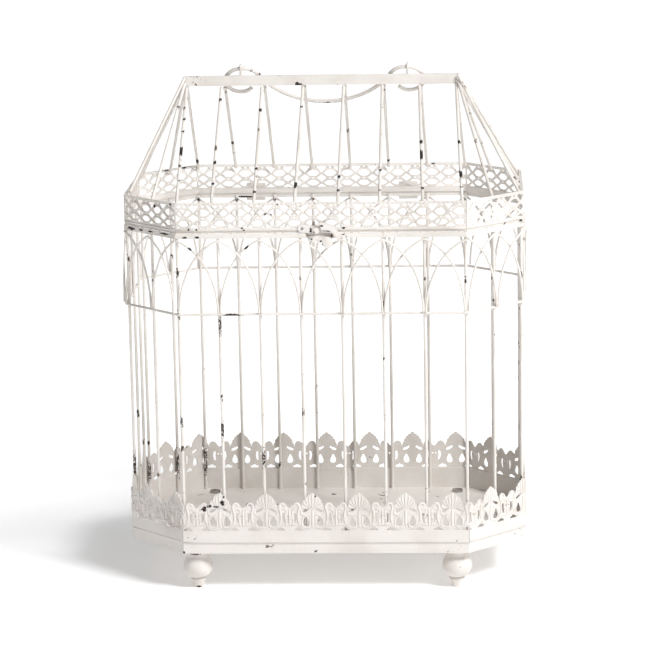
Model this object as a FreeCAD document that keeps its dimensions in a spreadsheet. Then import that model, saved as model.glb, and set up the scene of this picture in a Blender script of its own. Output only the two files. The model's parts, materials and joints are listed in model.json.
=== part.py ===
"""Octagonal wire cage card box: ball feet, filigree base band, arched bars, hinged roof lid, scroll handle.

Units are millimetres.  +Z is up, the front faces -Y and the origin is on the ground under the middle of the box.
The plan is an octagon through the bar centres; every layer of metal outside it is set by its offset from it.
"""
import FreeCAD
import Part
import Sketcher
import math
import os
from FreeCAD import Placement, Rotation, Vector

SIZES = (
    ("front_half", 106.75, "half length of the front and rear panels, between bar centres"),
    ("side_half", 49.5, "half length of the side panels, between bar centres"),
    ("corner_leg", 41.5, "plan leg of the 45 degree corner panels"),
    ("bar_radius", 1.2, "upright and roof wires"),
    ("bar_bottom", 31.05, "upright wires stand on the tray floor"),
    ("bar_length", 242.0, "upright wires"),
    ("tray_bottom", 30.0, "underside of the tray"),
    ("tray_floor", 1.0, "sheet thickness of the floor"),
    ("tray_wall", 17.5, "height of the tray wall from the underside"),
    ("tray_inner", 1.25, "offset of the inside of the tray wall"),
    ("tray_outer", 2.25, "offset of the outside of the tray wall"),
    ("foot_x", 98.5, "foot position"),
    ("foot_y", 79.0, "foot position"),
    ("foot_tip", 3.6, "foot profile radius at the ground"),
    ("foot_toe", 4.2, "foot profile radius above the tip"),
    ("foot_stalk", 5.1, "foot profile radius at the top of the toe"),
    ("foot_bead", 6.0, "foot profile radius of the small bead"),
    ("foot_neck", 5.2, "foot profile radius under the ball"),
    ("ball_radius", 11.35, "foot profile radius of the ball"),
    ("foot_shoulder", 8.6, "foot profile radius on top of the ball"),
    ("foot_collar", 8.0, "foot profile radius of the collar"),
    ("foot_cap", 9.5, "foot profile radius of the cap disc"),
    ("foot_bore", 2.05, "screw bore radius in the foot"),
    ("toe_level", 1.0, "height of the toe edge"),
    ("stalk_level", 5.0, "height of the top of the toe"),
    ("bead_level", 6.5, "height of the small bead"),
    ("neck_level", 8.2, "height of the neck under the ball"),
    ("ball_level", 16.3, "height of the ball equator"),
    ("shoulder_level", 24.5, "height of the top of the ball"),
    ("collar_level", 27.0, "height of the collar"),
    ("cap_level", 27.8, "height of the underside of the cap disc"),
    ("bore_level", 13.0, "height of the end of the screw bore"),
    ("screw_radius", 2.0, "foot screw shank"),
    ("screw_hole", 2.1, "screw hole in the tray floor"),
    ("screw_length", 17.0, "foot screw shank length under the head"),
    ("screw_head", 4.2, "foot screw head radius"),
    ("screw_head_height", 1.8, "foot screw head"),
    ("gallery_inner", 2.3, "offset of the inside of the filigree band"),
    ("gallery_thick", 0.8, "sheet thickness of the filigree band"),
    ("gallery_bottom", 38.5, "bottom edge of the filigree band"),
    ("gallery_motifs", 25, "palmettes round the filigree band"),
    ("gallery_start", 28.0, "first palmette from the front left corner"),
    ("ring_radius", 1.0, "waist ring wire"),
    ("ring_offset", 2.25, "waist ring wire centre"),
    ("ring_level", 214.5, "waist ring wire centre"),
    ("arch_radius", 0.85, "arch wire"),
    ("arch_near", 2.1, "offset of the arches that lie on the bars"),
    ("arch_far", 3.85, "offset of the arches that lie on the other arches"),
    ("arch_foot", 215.6, "height of the arch feet"),
    ("arch_rise", 57.3, "upright half axis of the arch ellipse"),
    ("arch_reach", 42.5, "level half axis of the arch ellipse in a front bay"),
    ("arch_shift", 12.0, "ellipse centre beyond the peak in a front bay"),
    ("arch_splay", 0.95, "arch foot beside the bar centre"),
    ("arch_tip", 3.0, "round tip of an arch"),
    ("rim_inner", 1.25, "body rim strip, inside"),
    ("rim_outer", 2.45, "body rim strip, outside"),
    ("rim_bottom", 271.6, "body rim strip"),
    ("rim_height", 3.6, "body rim strip"),
    ("frame_inner", 0.1, "lid frame and lid top rail, inside"),
    ("frame_outer", 1.1, "lid frame and lid top rail, outside"),
    ("frame_bottom", 275.5, "lid frame"),
    ("frame_height", 4.0, "lid frame"),
    ("rail_bottom", 296.6, "lid top rail"),
    ("rail_height", 1.6, "lid top rail"),
    ("band_inner", 1.15, "offset of the inside of the lid lattice band"),
    ("band_thick", 0.8, "sheet thickness of the lid lattice band"),
    ("band_bottom", 277.3, "lid lattice band"),
    ("band_height", 21.2, "lid lattice band"),
    ("band_cells", 64, "lattice cells round the lid band"),
    ("ridge_half", 103.5, "half length of the ridge bar"),
    ("ridge_shift", -2.3, "middle of the ridge bar from the middle of the box"),
    ("ridge_thick", 3.0, "ridge bar"),
    ("ridge_bottom", 373.3, "ridge bar"),
    ("ridge_height", 7.7, "ridge bar"),
    ("roof_foot", 296.4, "height of the lower ends of the roof wires"),
    ("roof_under", 372.2, "height of the upper ends of the front and rear roof wires"),
    ("roof_spread", 1.65, "upper ends of the front and rear roof wires from the middle"),
    ("roof_row_half", 102.0, "half length of the row of upper ends"),
    ("eye_span", 63.5, "handle eyelets from the middle"),
    ("eye_level", 386.5, "handle eyelet centre"),
    ("eye_major", 3.0, "eyelet ring centre line"),
    ("eye_minor", 0.8, "eyelet ring wire"),
    ("handle_wire_radius", 1.5, "handle wire"),
    ("handle_tilt", 51.0, "handle plane below the horizon when it lies on the rear roof"),
    ("scroll_radius", 13.7, "handle scroll centre line"),
    ("scroll_span", 62.3, "handle scroll centre from the middle"),
    ("scroll_inner_angle", 61.4, "part of the scroll between the eyelet and the grip"),
    ("curl_radius", 11.8, "centre line of the tighter lower half of the scroll"),
    ("grip_radius", 57.2, "handle grip arc"),
    ("grip_depth", 37.0, "lowest point of the grip from the swing axis"),
    ("hinge_x", 61.0, "hinge middle"),
    ("hinge_half", 7.5, "half width of a hinge"),
    ("hinge_offset", 6.4, "hinge pin from the bar plane"),
    ("hinge_level", 275.35, "hinge pin height"),
    ("barrel_radius", 2.4, "hinge knuckles"),
    ("hinge_bore", 1.05, "hinge knuckle bore"),
    ("pin_radius", 1.0, "hinge pin"),
    ("knuckle_half", 2.5, "half width of the middle knuckle"),
    ("leaf_thick", 0.8, "hinge leaves"),
    ("web_thick", 1.6, "web between a leaf and its knuckles"),
    ("running_gap", 0.3, "clearance between the body and what moves"),
    ("latch_x", -3.1, "hook pivot"),
    ("latch_level", 278.0, "hook pivot"),
    ("rivet_radius", 1.0, "hook rivet shank"),
    ("rivet_bore", 1.05, "hook bore"),
    ("rivet_head", 2.2, "hook rivet head radius"),
    ("boss_radius", 2.8, "spacer boss under the hook"),
    ("hook_back", 5.0, "offset of the back of the hook"),
    ("hook_thick", 1.2, "hook plate"),
    ("hook_eye", 4.0, "hook head radius"),
    ("crook_x", 2.4, "centre of the hook crescent"),
    ("crook_level", 271.6, "centre of the hook crescent"),
    ("crook_outer", 12.0, "outer radius of the hook crescent"),
    ("crook_inner", 7.9, "inner radius of the hook crescent"),
    ("stud_x", 5.0, "catch stud"),
    ("stud_level", 269.2, "catch stud"),
    ("stud_stem", 2.0, "catch stud stem radius"),
    ("stud_head", 4.2, "catch stud head radius"),
    ("stud_head_back", 6.5, "offset of the back of the stud head"),
    ("stud_rim", 1.5, "straight edge of the stud head"),
    ("stud_front", 8.8, "offset of the top of the stud dome"),
    ("catch_half", 8.5, "half width of the catch plate"),
    ("catch_bottom", 268.5, "catch plate"),
    ("catch_top", 273.6, "catch plate"),
    ("catch_thick", 1.0, "catch plate and latch plate"),
    ("fit_gap", 0.05, "gap between sheets and wires that are soldered together"),
)
PANEL_NAMES = ("front", "front_right", "right", "rear_right", "rear", "rear_left", "left", "front_left")
BAYS = (7, 2, 3, 2, 7, 2, 3, 2)
BAR_GROUPS = {
    "front": range(0, 8),
    "rear": range(14, 22),
    "right": range(9, 13),
    "left": range(23, 27),
    "chamfers": (8, 13, 22, 27),
}
MITRE = math.tan(math.pi / 8)
# upper ends of the hip and side roof wires, round the end of the ridge bar: x, y, z
CHAMFER_TOP = (104.07, 2.67, 375.71)
CORNER_TOP = (103.99, 2.64, 380.12)
SIDE_TOP = (104.73, 1.37, 373.42)
CORNER_ROW_TOP = (102.69, 2.18, 372.19)

# top edge of half a filigree motif, from the tip of the palmette to half way to the next: run, height
GALLERY_EDGE = (
    (0.0, 77.5), (1.3, 76.9), (1.9, 75.6), (3.1, 75.9), (3.9, 74.1), (5.2, 73.9), (5.8, 71.9),
    (7.1, 71.3), (7.3, 69.0), (8.2, 67.9), (8.7, 65.6), (9.5, 67.9), (10.7, 69.5), (12.4, 70.0),
    (14.3, 69.3), (15.6, 67.4), (16.6, 66.0),
)
GALLERY_EDGE_END = 65.7
# openings beside the palmette centre line, each drawn on the right and repeated mirrored: run, height
PALMETTE_HOLES = (
    ((2.9, 66.0), (2.4, 64.6), (5.4, 62.4), (7.8, 62.2), (7.6, 63.8)),
    ((4.7, 58.9), (5.7, 58.9), (7.4, 55.0), (7.1, 52.6), (5.2, 51.3), (3.0, 52.2), (2.7, 54.4)),
)
# openings beside the centre line of the double curl
CURL_HOLES = (
    ((3.3, 61.8), (5.0, 61.4), (5.4, 58.0), (4.6, 54.6), (3.4, 54.0), (2.9, 55.0), (3.6, 58.0)),
    ((0.8, 60.3), (1.8, 60.3), (1.9, 59.0), (0.8, 58.8)),
    ((3.4, 48.0), (10.1, 48.0), (10.0, 49.2), (6.7, 50.9), (3.5, 49.2)),
)
# openings of one lattice cell of the lid band about the cell centre line: run, height
LATTICE_EYES = (
    ((-5.0, 290.9), (-2.4, 288.7), (0.0, 288.3), (2.4, 288.7), (5.0, 290.9), (2.3, 293.1), (0.0, 293.5),
     (-2.3, 293.1)),
    ((-4.8, 283.0), (-2.3, 281.2), (0.0, 280.9), (2.3, 281.2), (4.8, 283.0), (2.3, 284.8), (0.0, 285.2),
     (-2.3, 284.8)),
    ((-1.2, 286.75), (0.0, 286.1), (1.2, 286.75), (0.0, 287.4)),
    ((-1.5, 296.3), (0.0, 294.6), (1.5, 296.3)),
)
LATTICE_GAPS = (
    ((-3.8, 286.9), (0.0, 284.1), (3.8, 286.9), (0.0, 289.7)),
    ((-4.2, 296.3), (0.0, 291.2), (4.2, 296.3)),
    ((-3.9, 279.7), (3.9, 279.7), (0.0, 282.3)),
)
# the lattice starts half a cell later on the rear side and its corners
LATTICE_LATE = ("rear_right", "rear", "rear_left")
# sideways set of the roof wires of a long side, in bar order: upper end, lower end
ROOF_SET = {
    "front": ((0.0, 0.0), (-3.3, -4.5), (-1.5, -3.5), (0.7, -4.0), (2.5, -2.5), (2.8, -2.2), (1.9, -0.8),
              (0.0, -2.0)),
    "rear": ((0.0, 0.0), (2.7, 0.0), (3.9, 0.0), (3.2, 0.0), (1.7, 0.0), (0.4, 0.0), (-0.8, 0.0), (0.0, 0.0)),
}
CORNER_WEB = 0.5
ARCH_MITRE = 0.55
HANDLE_TIP_ANGLE = 45.0
LATCH_PLATE = (-12.0, 8.0, 275.7, 281.6)
LATCH_EAR = (-13.6, 279.0, 3.1, 1.0)

doc = FreeCAD.newDocument("WireCageCardBox")
sheet = doc.addObject("Spreadsheet::Sheet", "Sizes")
NODES = []


def fill_sheet():
    for row, (alias, value, note) in enumerate(SIZES, start=1):
        sheet.set("A%d" % row, note)
        sheet.set("B%d" % row, str(value))
        sheet.setAlias("B%d" % row, alias)
    doc.recompute()


def size(alias):
    return float(sheet.get(alias))


def cell(alias):
    return "Sizes." + alias


def keep(node, name):
    """Marks an object as a finished sub-part with the given name."""
    node.Label = name
    NODES.append(node)
    return node


def make(kind, name, **bound):
    """A document object whose named properties follow cells of the sheet or expressions of cells."""
    made = doc.addObject(kind, name)
    for prop, text in bound.items():
        made.setExpression(prop, text)
    return made


def octagon_points(offset):
    """Octagon corners at an offset outside the bar centres, counter-clockwise from the front left corner."""
    run = offset * MITRE
    a = size("front_half") + run
    b = size("side_half") + run
    wide = size("front_half") + size("corner_leg") + offset
    deep = size("side_half") + size("corner_leg") + offset
    return [Vector(x, y, 0) for x, y in (
        (-a, -deep), (a, -deep), (wide, -b), (wide, b), (a, deep), (-a, deep), (-wide, b), (-wide, -b))]


def octagon_cells():
    """Expressions of the octagon corner coordinates without the offset terms: x, y and their offset factors."""
    a, b = "Sizes.front_half", "Sizes.side_half"
    wide = "(Sizes.front_half + Sizes.corner_leg)"
    deep = "(Sizes.side_half + Sizes.corner_leg)"
    row = ((a, deep, MITRE, 1.0), (a, deep, MITRE, 1.0), (wide, b, 1.0, MITRE), (wide, b, 1.0, MITRE))
    return row + row


def panel(index):
    """Start corner, direction, outward normal and length of a panel on the bar centre octagon."""
    corners = octagon_points(0.0)
    start = corners[index]
    along = corners[(index + 1) % 8].sub(start)
    length = along.Length
    along.normalize()
    return start, along, Vector(along.y, -along.x, 0), length


def panel_placement(index):
    """Frame with X along the panel, Y up and Z outward."""
    start, along, outward, _ = panel(index)
    return Placement(start, Rotation(along, Vector(0, 0, 1), outward, "XYZ"))


def bar_places():
    """Bar positions round the octagon, from the front left corner, counter-clockwise."""
    places = []
    for index, bays in enumerate(BAYS):
        start, along, _, length = panel(index)
        for k in range(bays):
            places.append(start.add(along * (length * k / bays)))
    return places


def plane_of(body, role):
    return next(part for part in body.Origin.OriginFeatures if part.Role == role)


def pin_vertex(sketch, edge, x, y, x_text, y_text):
    """Ties the start of a sketch edge to the sketch origin by bound distances."""
    for kind, value, text in (("DistanceX", x, x_text), ("DistanceY", y, y_text)):
        ends = (edge, 1, -1, 1) if value < 0 else (-1, 1, edge, 1)
        number = sketch.addConstraint(Sketcher.Constraint(kind, *ends, abs(value)))
        sketch.setExpression("Constraints[%d]" % number, text)


def octagon_sketch(body, name, offsets, level):
    """Closed octagons at named offsets, on a level plane at a named height."""
    sketch = body.newObject("Sketcher::SketchObject", name)
    sketch.AttachmentSupport = [(plane_of(body, "XY_Plane"), "")]
    sketch.MapMode = "FlatFace"
    sketch.setExpression("AttachmentOffset.Base.z", level)
    for alias in offsets:
        corners = octagon_points(size(alias))
        first = len(sketch.Geometry)
        for k in range(8):
            sketch.addGeometry(Part.LineSegment(corners[k], corners[(k + 1) % 8]), False)
        for k in range(8):
            sketch.addConstraint(Sketcher.Constraint("Coincident", first + k, 2, first + (k + 1) % 8, 1))
        for k, (x_text, y_text, x_run, y_run) in enumerate(octagon_cells()):
            pin_vertex(sketch, first + k, corners[k].x, corners[k].y,
                       "%s + %.8f * %s" % (x_text, x_run, cell(alias)),
                       "%s + %.8f * %s" % (y_text, y_run, cell(alias)))
    return sketch


def pad(body, name, sketch, length):
    feature = body.newObject("PartDesign::Pad", name)
    feature.Profile = sketch
    feature.setExpression("Length", length)
    doc.recompute()
    return feature


def octagon_ring(name, inner, outer, level, height):
    """A strip of metal bent round the octagon."""
    body = doc.addObject("PartDesign::Body", name)
    sketch = octagon_sketch(body, name + "_plan", (outer, inner), cell(level))
    pad(body, name + "_pad", sketch, cell(height))
    return keep(body, name)


def foot_places():
    x, y = size("foot_x"), size("foot_y")
    return {"front_left": (-x, -y), "front_right": (x, -y), "rear_right": (x, y), "rear_left": (-x, y)}


def tray():
    """Sheet tray with a flat floor, a low wall and four screw holes."""
    body = doc.addObject("PartDesign::Body", "tray_pan")
    floor = octagon_sketch(body, "tray_floor_plan", ("tray_outer",), cell("tray_bottom"))
    pad(body, "tray_floor_pad", floor, cell("tray_floor"))
    wall = octagon_sketch(body, "tray_wall_plan", ("tray_outer", "tray_inner"), cell("tray_bottom"))
    pad(body, "tray_wall_pad", wall, cell("tray_wall"))
    whole = body.Shape.Volume
    holes = body.newObject("Sketcher::SketchObject", "tray_hole_plan")
    holes.AttachmentSupport = [(plane_of(body, "XY_Plane"), "")]
    holes.MapMode = "FlatFace"
    holes.setExpression("AttachmentOffset.Base.z", cell("tray_bottom"))
    for k, (x, y) in enumerate(foot_places().values()):
        holes.addGeometry(Part.Circle(Vector(x, y, 0), Vector(0, 0, 1), size("screw_hole")), False)
        for kind, value, text in (("DistanceX", x, "foot_x"), ("DistanceY", y, "foot_y")):
            ends = (k, 3, -1, 1) if value < 0 else (-1, 1, k, 3)
            number = holes.addConstraint(Sketcher.Constraint(kind, *ends, abs(value)))
            holes.setExpression("Constraints[%d]" % number, cell(text))
        number = holes.addConstraint(Sketcher.Constraint("Radius", k, size("screw_hole")))
        holes.setExpression("Constraints[%d]" % number, cell("screw_hole"))
    pocket = body.newObject("PartDesign::Pocket", "tray_holes")
    pocket.Profile = holes
    pocket.Reversed = True
    pocket.setExpression("Length", cell("tray_floor"))
    doc.recompute()
    if not body.Shape.Volume < whole:
        raise RuntimeError("the screw holes cut nothing from the tray")
    keep(body, "tray_pan")


def foot(corner, x, y):
    """Turned foot: toe, bead, ball, collar and cap disc, bored from above for its screw."""
    body = doc.addObject("PartDesign::Body", "foot_" + corner)
    sketch = body.newObject("Sketcher::SketchObject", "foot_%s_profile" % corner)
    sketch.AttachmentSupport = [(plane_of(body, "XZ_Plane"), "")]
    sketch.MapMode = "FlatFace"
    rows = (
        (None, None), ("foot_tip", None), ("foot_toe", "toe_level"), ("foot_stalk", "stalk_level"),
        ("foot_bead", "bead_level"), ("foot_neck", "neck_level"), ("ball_radius", "ball_level"),
        ("foot_shoulder", "shoulder_level"), ("foot_collar", "collar_level"), ("foot_cap", "cap_level"),
        ("foot_cap", "tray_bottom"), ("foot_bore", "tray_bottom"), ("foot_bore", "bore_level"),
        (None, "bore_level"),
    )
    points = [Vector(size(r) if r else 0.0, size(z) if z else 0.0, 0) for r, z in rows]
    equator = size("ball_level")
    for k, start in enumerate(points):
        end = points[(k + 1) % len(points)]
        if equator in (start.y, end.y):
            sketch.addGeometry(ball_arc(start, end, equator), False)
        else:
            sketch.addGeometry(Part.LineSegment(start, end), False)
    for k in range(len(points)):
        first, second = k, (k + 1) % len(points)
        sketch.addConstraint(Sketcher.Constraint("Coincident", first, 2, second, 1))
    for k, (radius, level) in enumerate(rows):
        for kind, alias in (("DistanceX", radius), ("DistanceY", level)):
            if alias:
                number = sketch.addConstraint(Sketcher.Constraint(kind, -1, 1, k, 1, size(alias)))
                sketch.setExpression("Constraints[%d]" % number, cell(alias))
    turned = body.newObject("PartDesign::Revolution", "foot_%s_turned" % corner)
    turned.Profile = sketch
    turned.ReferenceAxis = (sketch, ["V_Axis"])
    turned.Angle = 360.0
    doc.recompute()
    body.Placement = Placement(Vector(x, y, 0), Rotation())
    keep(body, "foot_" + corner)


def ball_arc(start, end, equator):
    """Arc of the ball between its equator and a neck, upright at the equator."""
    rim, neck = (start, end) if start.y == equator else (end, start)
    rise = neck.y - equator
    middle_x = (rim.x ** 2 - neck.x ** 2 - rise ** 2) / (2 * (rim.x - neck.x))
    radius = rim.x - middle_x
    half = math.atan2(rise, neck.x - middle_x) / 2
    middle = Vector(middle_x + radius * math.cos(half), equator + radius * math.sin(half), 0)
    lower, upper = (rim, neck) if rim.y < neck.y else (neck, rim)
    return Part.Arc(lower, middle, upper)


def compound(name, parts):
    group = doc.addObject("Part::Compound", name)
    group.Links = parts
    return keep(group, name)


def foot_screws():
    """Round head screws from the tray floor down into the feet."""
    screws = []
    for corner, (x, y) in foot_places().items():
        shank = make("Part::Cylinder", "screw_shank_" + corner, Radius=cell("screw_radius"),
                     Height=cell("screw_length"))
        head = make("Part::Cylinder", "screw_head_" + corner, Radius=cell("screw_head"),
                    Height=cell("screw_head_height"))
        top = size("tray_bottom") + size("tray_floor")
        shank.Placement = Placement(Vector(x, y, top - size("screw_length")), Rotation())
        head.Placement = Placement(Vector(x, y, top), Rotation())
        screw = doc.addObject("Part::Fuse", "screw_" + corner)
        screw.Base = head
        screw.Tool = shank
        screws.append(screw)
    compound("foot_screws", screws)


def rod(name, start, end, radius):
    """Straight wire between two points."""
    way = end.sub(start)
    wire = make("Part::Cylinder", name, Radius=radius)
    wire.Height = way.Length
    wire.Placement = Placement(start, Rotation(Vector(0, 0, 1), way))
    return wire


def bars():
    """Upright wires of the cage, one group for each side of the box."""
    places = bar_places()
    for group, numbers in BAR_GROUPS.items():
        wires = []
        for number in numbers:
            wire = make("Part::Cylinder", "bar_%02d" % number, Radius=cell("bar_radius"),
                        Height=cell("bar_length"))
            wire.Placement = Placement(places[number].add(Vector(0, 0, size("bar_bottom"))), Rotation())
            wires.append(wire)
        compound("bars_" + group, wires)


def swept(name, path, start, tangent, radius, transition):
    """Round wire along a path."""
    spine = doc.addObject("Part::Feature", name + "_path")
    spine.Shape = path
    section = make("Part::Circle", name + "_section", Radius=radius)
    section.Placement = Placement(start, Rotation(Vector(0, 0, 1), tangent))
    sweep = doc.addObject("Part::Sweep", name)
    sweep.Sections = [section]
    sweep.Spine = (spine, ["Edge%d" % (k + 1) for k in range(len(path.Edges))])
    sweep.Solid = True
    sweep.Frenet = False
    sweep.Transition = transition
    return sweep


def waist_ring():
    """Wire ring soldered round the outside of the bars."""
    level = Vector(0, 0, size("ring_level"))
    corners = [corner.add(level) for corner in octagon_points(size("ring_offset"))]
    middle = (corners[0] + corners[1]) * 0.5
    path = Part.makePolygon([middle] + corners[1:] + [corners[0], middle])
    ring = swept("waist_ring", path, middle, Vector(1, 0, 0), cell("ring_radius"), "Right corner")
    keep(ring, "waist_ring")


def arc_between(start, end, centre):
    """Short arc from one point to another round a centre, in the plane of the three."""
    middle = (start + end) * 0.5 - centre
    middle.normalize()
    return Part.Arc(start, centre + middle * (start - centre).Length, end).toShape()


def arch_flank(reach):
    """Half an arch in its own plane, peak over the origin: two tangent arcs as points and centres.

    The arcs follow an ellipse from an upright foot at the given reach to the peak.
    """
    scale = reach / (size("arch_reach") - size("arch_shift"))
    shift, half, rise = size("arch_shift") * scale, size("arch_reach") * scale, size("arch_rise")
    top = math.acos(shift / half)
    foot = Vector(reach, 0, 0)
    joint = Vector(half * math.cos(top / 2) - shift, rise * math.sin(top / 2), 0)
    peak = Vector(0, rise * math.sin(top), 0)
    low_x = (foot.x ** 2 - joint.x ** 2 - joint.y ** 2) / (2 * (foot.x - joint.x))
    low = Vector(low_x, 0, 0)
    inward = (low - joint).normalize()
    chord = joint - peak
    high = joint - inward * (chord.Length ** 2 / (2 * inward.dot(chord)))
    return foot, low, joint, high, peak


def arch_place(point, origin, side):
    """A point of an arch plane set on a panel, its foot side along the given direction."""
    return origin + side * point.x + Vector(0, 0, point.y)


def panel_arch(peak, along, reach):
    """Path of an arch inside one panel: two flanks and a small round tip."""
    foot, low, joint, high, _ = arch_flank(reach)
    tip = size("arch_tip")
    radius = (joint - high).Length
    tip_centre = Vector(0, high.y + math.sqrt((radius - tip) ** 2 - high.x ** 2), 0)
    shoulder = tip_centre + (tip_centre - high).normalize() * tip
    crown = tip_centre + Vector(0, tip, 0)
    flanks = []
    for side in (along * -1, along):
        at = [arch_place(point, peak, side) for point in (foot, low, joint, high, shoulder)]
        flanks.append((arc_between(at[0], at[2], at[1]), arc_between(at[2], at[4], at[3]), at[4], at[0]))
    (rise_low, rise_high, left, start), (fall_low, fall_high, right, _) = flanks
    over = Part.Arc(left, arch_place(crown, peak, along), right).toShape()
    return Part.Wire([rise_low, rise_high, over, fall_high, fall_low]), start


def corner_flank(peak, side, reach):
    """Path of half an arch that ends over a corner bar, short of the other half by the mitre."""
    foot, low, joint, high, top = arch_flank(reach)
    at = [arch_place(point, peak, side) for point in (foot, low, joint, high, top)]
    turn = size("arch_radius") * ARCH_MITRE / (at[4] - at[3]).Length
    short = at[3] + Rotation((at[4] - at[3]).cross(at[2] - at[3]), math.degrees(turn)).multVec(at[4] - at[3])
    return Part.Wire([arc_between(at[0], at[2], at[1]), arc_between(at[2], short, at[3])]), at[0]


def arches():
    """Pointed arches, each over a bar with its feet at the two neighbours, in two alternating layers."""
    level = Vector(0, 0, size("arch_foot"))
    number = 0
    wires = {}
    for index, bays in enumerate(BAYS):
        start, along, outward, length = panel(index)
        _, before, before_outward, before_length = panel(index - 1)
        width = length / bays
        for bay in range(bays):
            offset = size("arch_near") if number % 2 == 0 else size("arch_far")
            name = "arch_%02d" % number
            reach = width - size("arch_splay")
            paths = []
            if bay:
                peak = start + along * (width * bay) + outward * offset + level
                paths.append(panel_arch(peak, along, reach))
            else:
                peak = start + outward * offset - along * (offset * MITRE) + level
                past = offset * MITRE
                paths.append(corner_flank(peak, before * -1, before_length / BAYS[index - 1] + past
                                          - size("arch_splay")))
                paths.append(corner_flank(peak, along, reach + past))
            wires[number] = [swept("%s_%d" % (name, k), path, foot_point, Vector(0, 0, 1),
                                   cell("arch_radius"), "Transformed")
                             for k, (path, foot_point) in enumerate(paths)]
            number += 1
    for group, numbers in BAR_GROUPS.items():
        compound("arches_" + group, sum((wires[number] for number in numbers), []))


def clipped(points, low, high):
    """Polygon cut to a range of its first coordinate."""
    for edge, sign in ((low, 1.0), (high, -1.0)):
        kept = []
        for k, (x, y) in enumerate(points):
            before_x, before_y = points[k - 1]
            inside, was_inside = (x - edge) * sign >= 0, (before_x - edge) * sign >= 0
            if inside != was_inside:
                share = (edge - before_x) / (x - before_x)
                kept.append((edge, before_y + share * (y - before_y)))
            if inside:
                kept.append((x, y))
        points = kept
    return points


def area(points):
    return abs(sum(points[k - 1][0] * y - x * points[k - 1][1] for k, (x, y) in enumerate(points))) / 2


def polygon(points):
    corners = [Vector(x, y, 0) for x, y in points]
    return Part.makePolygon(corners + corners[:1])


def pierced_panel(name, outline, holes, low, high, index, offset, thickness):
    """Flat length of pierced sheet for one side of the octagon; cut openings stop short of the corners."""
    wires = [polygon(outline)]
    for hole in holes:
        cut = clipped(hole, low + CORNER_WEB, high - CORNER_WEB)
        if len(cut) > 2 and area(cut) > 0.5:
            wires.append(polygon(cut))
    face = Part.Face(wires, "Part::FaceMakerBullseye")
    plate = doc.addObject("Part::Feature", name)
    plate.Shape = face.extrude(Vector(0, 0, thickness))
    place = panel_placement(index)
    plate.Placement = Placement(place.Base + panel(index)[2] * offset, place.Rotation)
    return plate


def strip_ranges(offset):
    """Running length round the strip at the start and end of every panel, and the start run of each panel."""
    ranges, done = [], 0.0
    for index in range(8):
        length = panel(index)[3] + 2 * offset * MITRE
        ranges.append((done, done + length, done + offset * MITRE))
        done += length
    return ranges, done


def gallery_strip():
    """Filigree band: palmettes and double curls round the foot of the cage."""
    offset = size("gallery_inner")
    ranges, total = strip_ranges(offset)
    count = int(size("gallery_motifs"))
    pitch = total / count
    half = pitch / 2
    plates = []
    for index, (low, high, zero) in enumerate(ranges):
        edge, holes = [], []
        for motif in range(-1, count + 1):
            middle = size("gallery_start") + motif * pitch
            if middle + pitch < low or middle - pitch > high:
                continue
            side = [(middle + run, z) for run, z in GALLERY_EDGE]
            edge += [(2 * middle - x, z) for x, z in reversed(side[1:])] + side
            edge.append((middle + half, GALLERY_EDGE_END))
            for centre, shapes in ((middle, PALMETTE_HOLES), (middle + half, CURL_HOLES)):
                for shape in shapes:
                    holes.append([(centre + x, z) for x, z in shape])
                    holes.append([(centre - x, z) for x, z in reversed(shape)])
        bottom = size("gallery_bottom")
        outline = clipped([(edge[0][0], bottom), (edge[-1][0], bottom)] + edge[::-1], low, high)
        outline = [(x - zero, z) for x, z in outline]
        holes = [[(x - zero, z) for x, z in hole] for hole in holes]
        plates.append(pierced_panel("gallery_" + PANEL_NAMES[index], outline, holes, low - zero, high - zero,
                                    index, offset, size("gallery_thick")))
    compound("gallery_strip", plates)


def lid_band():
    """Lattice band of the lid."""
    offset = size("band_inner")
    ranges, total = strip_ranges(offset)
    count = int(size("band_cells"))
    pitch = total / count
    bottom, top = size("band_bottom"), size("band_bottom") + size("band_height")
    plates = []
    for index, (low, high, zero) in enumerate(ranges):
        outline = [(low - zero, bottom), (high - zero, bottom), (high - zero, top), (low - zero, top)]
        holes = []
        for number in range(-1, count + 1):
            start = 1.0 if PANEL_NAMES[index] in LATTICE_LATE else 0.5
            middle = (number + start) * pitch - zero
            for centre, shapes in ((middle, LATTICE_EYES), (middle + pitch / 2, LATTICE_GAPS)):
                holes += [[(centre + x, z) for x, z in shape] for shape in shapes]
        plates.append(pierced_panel("band_" + PANEL_NAMES[index], outline, holes, low - zero, high - zero,
                                    index, offset, size("band_thick")))
    compound("lid_band", plates)


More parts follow.
